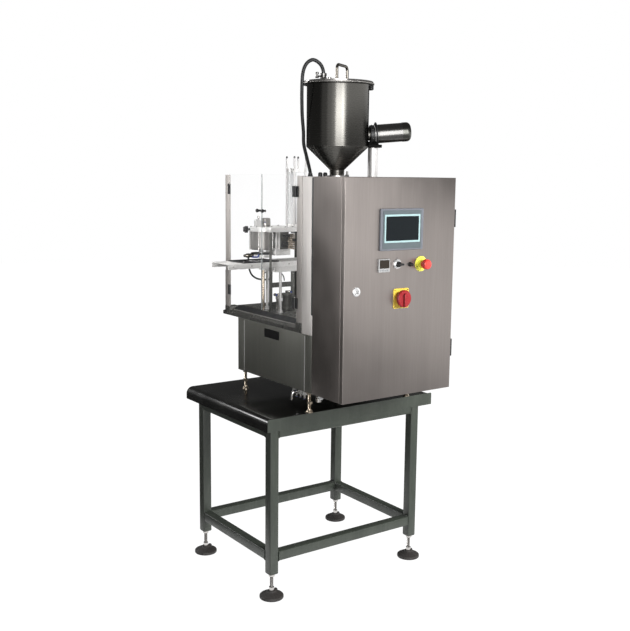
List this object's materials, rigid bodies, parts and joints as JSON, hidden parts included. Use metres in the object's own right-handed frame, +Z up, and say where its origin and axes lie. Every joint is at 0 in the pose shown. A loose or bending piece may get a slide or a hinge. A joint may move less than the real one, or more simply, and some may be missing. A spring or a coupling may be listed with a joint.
{
  "type": "cup filling and sealing machine",
  "caption": "Cup filling and sealing machine: agitated hopper on a control cabinet, guarded sealing bay with cup slide and lid magazine, on a square-tube stand.",
  "frame": {"origin": "on the floor, under the middle of the object's bounding box", "axes": "+Z up, +X to the right along the cabinet door as its user sees it, +Y from the door back to the sealing bay"},
  "size_m": [0.861, 0.949, 2.0894],
  "materials": {
    "stand_paint": "satin grey-green paint",
    "worktop": "black high-gloss laminate",
    "brushed": "vertically brushed stainless",
    "dark_steel": "dark satin stainless",
    "polished": "fine polished stainless",
    "aluminium": "satin machined",
    "black_plastic": "satin black",
    "rubber": "smooth black hose",
    "foot_rubber": "matt black",
    "clear": "clear acrylic sheet",
    "sleeve": "frosted clear tube",
    "lilac": "satin pale housing",
    "yellow": "satin yellow",
    "red": "gloss red",
    "chrome": "bright chrome"
  },
  "bodies": {
    "machine": {"table_frame": "stand_paint", "table_top": "worktop", "base_box": "dark_steel", "base_side_cover": "dark_steel", "air_manifold": "aluminium", "tray": "dark_steel", "bay_wall": "brushed", "near_post": "dark_steel", "far_post": "dark_steel", "slide_stand": "polished", "station_bracket": "dark_steel", "cup_lifter": "dark_steel", "head_top_plate": "aluminium", "head_pillar": "dark_steel", "seal_cylinder": "dark_steel", "head_bottom_plate": "aluminium", "head_frame": "dark_steel", "magazine_base": "dark_steel", "magazine_sleeve": "sleeve", "heater_lead": "rubber", "cabinet_shell": "brushed", "hopper": "polished", "motor_collar": "black_plastic", "agitator_motor": "polished", "motor_post": "polished", "hopper_lid_rear": "polished", "hopper_hose": "rubber", "door_hinge_lower": "black_plastic", "door_hinge_upper": "black_plastic", "guard_hinge_near_upper": "black_plastic", "guard_hinge_near_lower": "black_plastic", "guard_hinge_far_upper": "black_plastic", "guard_hinge_far_lower": "black_plastic", "machine_foot_front_left": "polished", "stand_foot_front_left": "foot_rubber", "machine_foot_front_right": "polished", "stand_foot_front_right": "foot_rubber", "machine_foot_rear_left": "polished", "stand_foot_rear_left": "foot_rubber", "machine_foot_rear_right": "polished", "stand_foot_rear_right": "foot_rubber"},
    "cabinet_door": {"cabinet_door": "brushed", "touch_panel": "lilac", "counter": "lilac", "switch_plate": "yellow", "stop_plate": "yellow"},
    "cam_lock": {"cam_lock": "chrome"},
    "switch_handle": {"switch_handle": "red"},
    "selector_knob": {"selector_knob": "black_plastic"},
    "push_button": {"push_button": "black_plastic"},
    "stop_button": {"stop_button": "red"},
    "guard_door_near": {"guard_door_near": "clear"},
    "guard_door_far": {"guard_door_far": "clear"},
    "cup_slide": {"slide_plate": "aluminium", "cup_nest": "black_plastic"},
    "seal_ram": {"seal_die": "aluminium"},
    "speed_knob": {"speed_knob": "black_plastic"},
    "lid_flap": {"hopper_lid_flap": "polished", "lid_handle": "polished"},
    "agitator": {"agitator": "polished"}
  },
  "joints": [
    {"name": "cabinet_door_hinge", "type": "hinge", "parent": "machine", "child": "cabinet_door", "pos_m": [0.319, -0.4135, 1.247], "axis": [0, 0, 1], "range_deg": [0, 110]},
    {"name": "cam_lock_turn", "type": "hinge", "parent": "cabinet_door", "child": "cam_lock", "pos_m": [-0.1765, -0.4285, 1.247], "axis": [0, -1, 0], "range_deg": [0, 90]},
    {"name": "switch_turn", "type": "hinge", "parent": "cabinet_door", "child": "switch_handle", "pos_m": [0.041, -0.4285, 1.209], "axis": [0, 1, 0], "range_deg": [0, 90]},
    {"name": "selector_turn", "type": "hinge", "parent": "cabinet_door", "child": "selector_knob", "pos_m": [0.0185, -0.4285, 1.342], "axis": [0, 1, 0], "range_deg": [-45, 45]},
    {"name": "push_button_travel", "type": "slide", "parent": "cabinet_door", "child": "push_button", "axis": [0, 1, 0], "range_m": [0, 0.003], "stiffness_N_per_m": 300},
    {"name": "stop_button_travel", "type": "slide", "parent": "cabinet_door", "child": "stop_button", "axis": [0, 1, 0], "range_m": [0, 0.005], "stiffness_N_per_m": 600},
    {"name": "near_guard_hinge", "type": "hinge", "parent": "machine", "child": "guard_door_near", "pos_m": [-0.2395, -0.1135, 1.395], "axis": [0, 0, 1], "range_deg": [0, 110]},
    {"name": "far_guard_hinge", "type": "hinge", "parent": "machine", "child": "guard_door_far", "pos_m": [-0.2395, 0.3995, 1.395], "axis": [0, 0, -1], "range_deg": [0, 110]},
    {"name": "cup_slide_travel", "type": "slide", "parent": "machine", "child": "cup_slide", "axis": [1, 0, 0], "range_m": [-0.08, 0.2]},
    {"name": "seal_ram_travel", "type": "slide", "parent": "machine", "child": "seal_ram", "axis": [0, 0, -1], "range_m": [0, 0.0118], "stiffness_N_per_m": 1500, "springref_m": -0.008},
    {"name": "speed_knob_turn", "type": "hinge", "parent": "machine", "child": "speed_knob", "pos_m": [-0.1918, 0.3045, 1.44], "axis": [-1, 0, 0], "range_deg": [0, 270]},
    {"name": "lid_flap_hinge", "type": "hinge", "parent": "machine", "child": "lid_flap", "pos_m": [-0.1815, -0.3055, 2.018], "axis": [-0.8572, -0.515, 0], "range_deg": [0, 95]},
    {"name": "agitator_spin", "type": "hinge", "parent": "machine", "child": "agitator", "pos_m": [-0.06718, -0.3715, 1.82687], "axis": [0.8627, -0.4981, 0.0872], "continuous": true}
  ]
}
